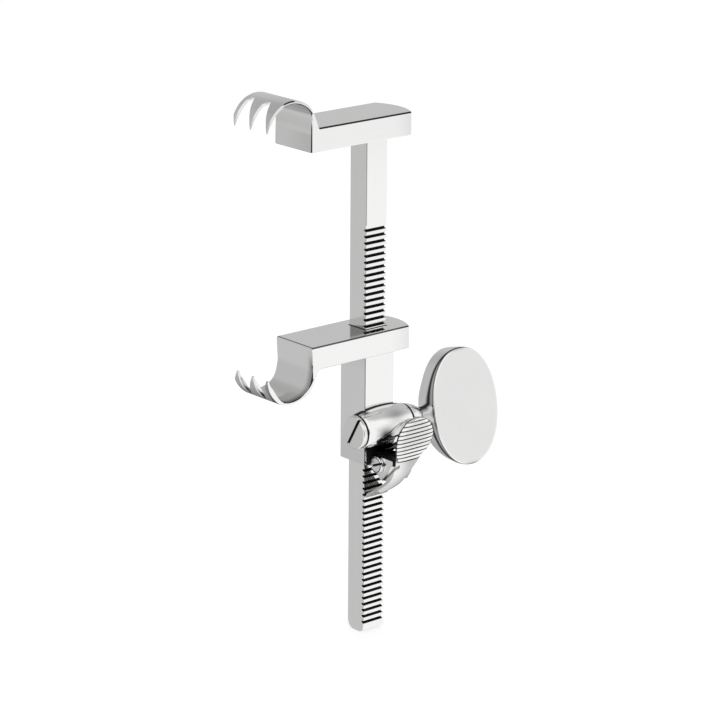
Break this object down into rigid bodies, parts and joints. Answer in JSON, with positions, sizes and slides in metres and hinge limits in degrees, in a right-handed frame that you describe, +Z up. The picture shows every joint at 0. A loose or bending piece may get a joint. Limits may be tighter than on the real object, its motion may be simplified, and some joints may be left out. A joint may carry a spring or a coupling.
{
  "type": "rib contractor",
  "caption": "Rib contractor: two hooked arms drawn together along a toothed bar by a thumb key and pinion, held by a sprung pawl lever.",
  "frame": {"origin": "centre of the flat end of the toothed bar's foot", "axes": "+Z up along the toothed bar towards the fixed arm, -Y the toothed side, -X towards the hooks, +X towards the thumb key"},
  "size_m": [0.1059, 0.0294, 0.202],
  "materials": {
    "polished_steel": "polished stainless steel",
    "screw_steel": "turned stainless steel",
    "spring_steel": "hardened spring steel"
  },
  "bodies": {
    "rack": {"rack_bar": "polished_steel", "upper_arm": "polished_steel"},
    "slider": {"lower_arm": "polished_steel", "slide_sleeve": "polished_steel", "pinion_housing": "polished_steel", "bearing_screw": "screw_steel", "end_bush": "polished_steel", "pawl_screw": "screw_steel", "pawl_spring": "spring_steel"},
    "pinion_and_key": {"pinion": "polished_steel", "thumb_key": "polished_steel"},
    "pawl": {"pawl_lever": "polished_steel"}
  },
  "joints": [
    {"name": "slider_travel", "type": "slide", "parent": "rack", "child": "slider", "axis": [0, 0, 1], "range_m": [-0.04635, 0.06489]},
    {"name": "pinion_turn", "type": "hinge", "parent": "slider", "child": "pinion_and_key", "pos_m": [0, -0.00754, 0.0788], "axis": [1, 0, 0], "range_deg": [-1010, 722]},
    {"name": "pawl_swing", "type": "hinge", "parent": "slider", "child": "pawl", "pos_m": [0, -0.01, 0.0657], "axis": [1, 0, 0], "range_deg": [-5, 4], "stiffness_Nm_per_rad": 0.15, "springref_deg": 6.88}
  ],
  "couplings": [
    {"joint": "pinion_turn", "follows": "slider_travel", "rad_per_m": -271.12}
  ]
}
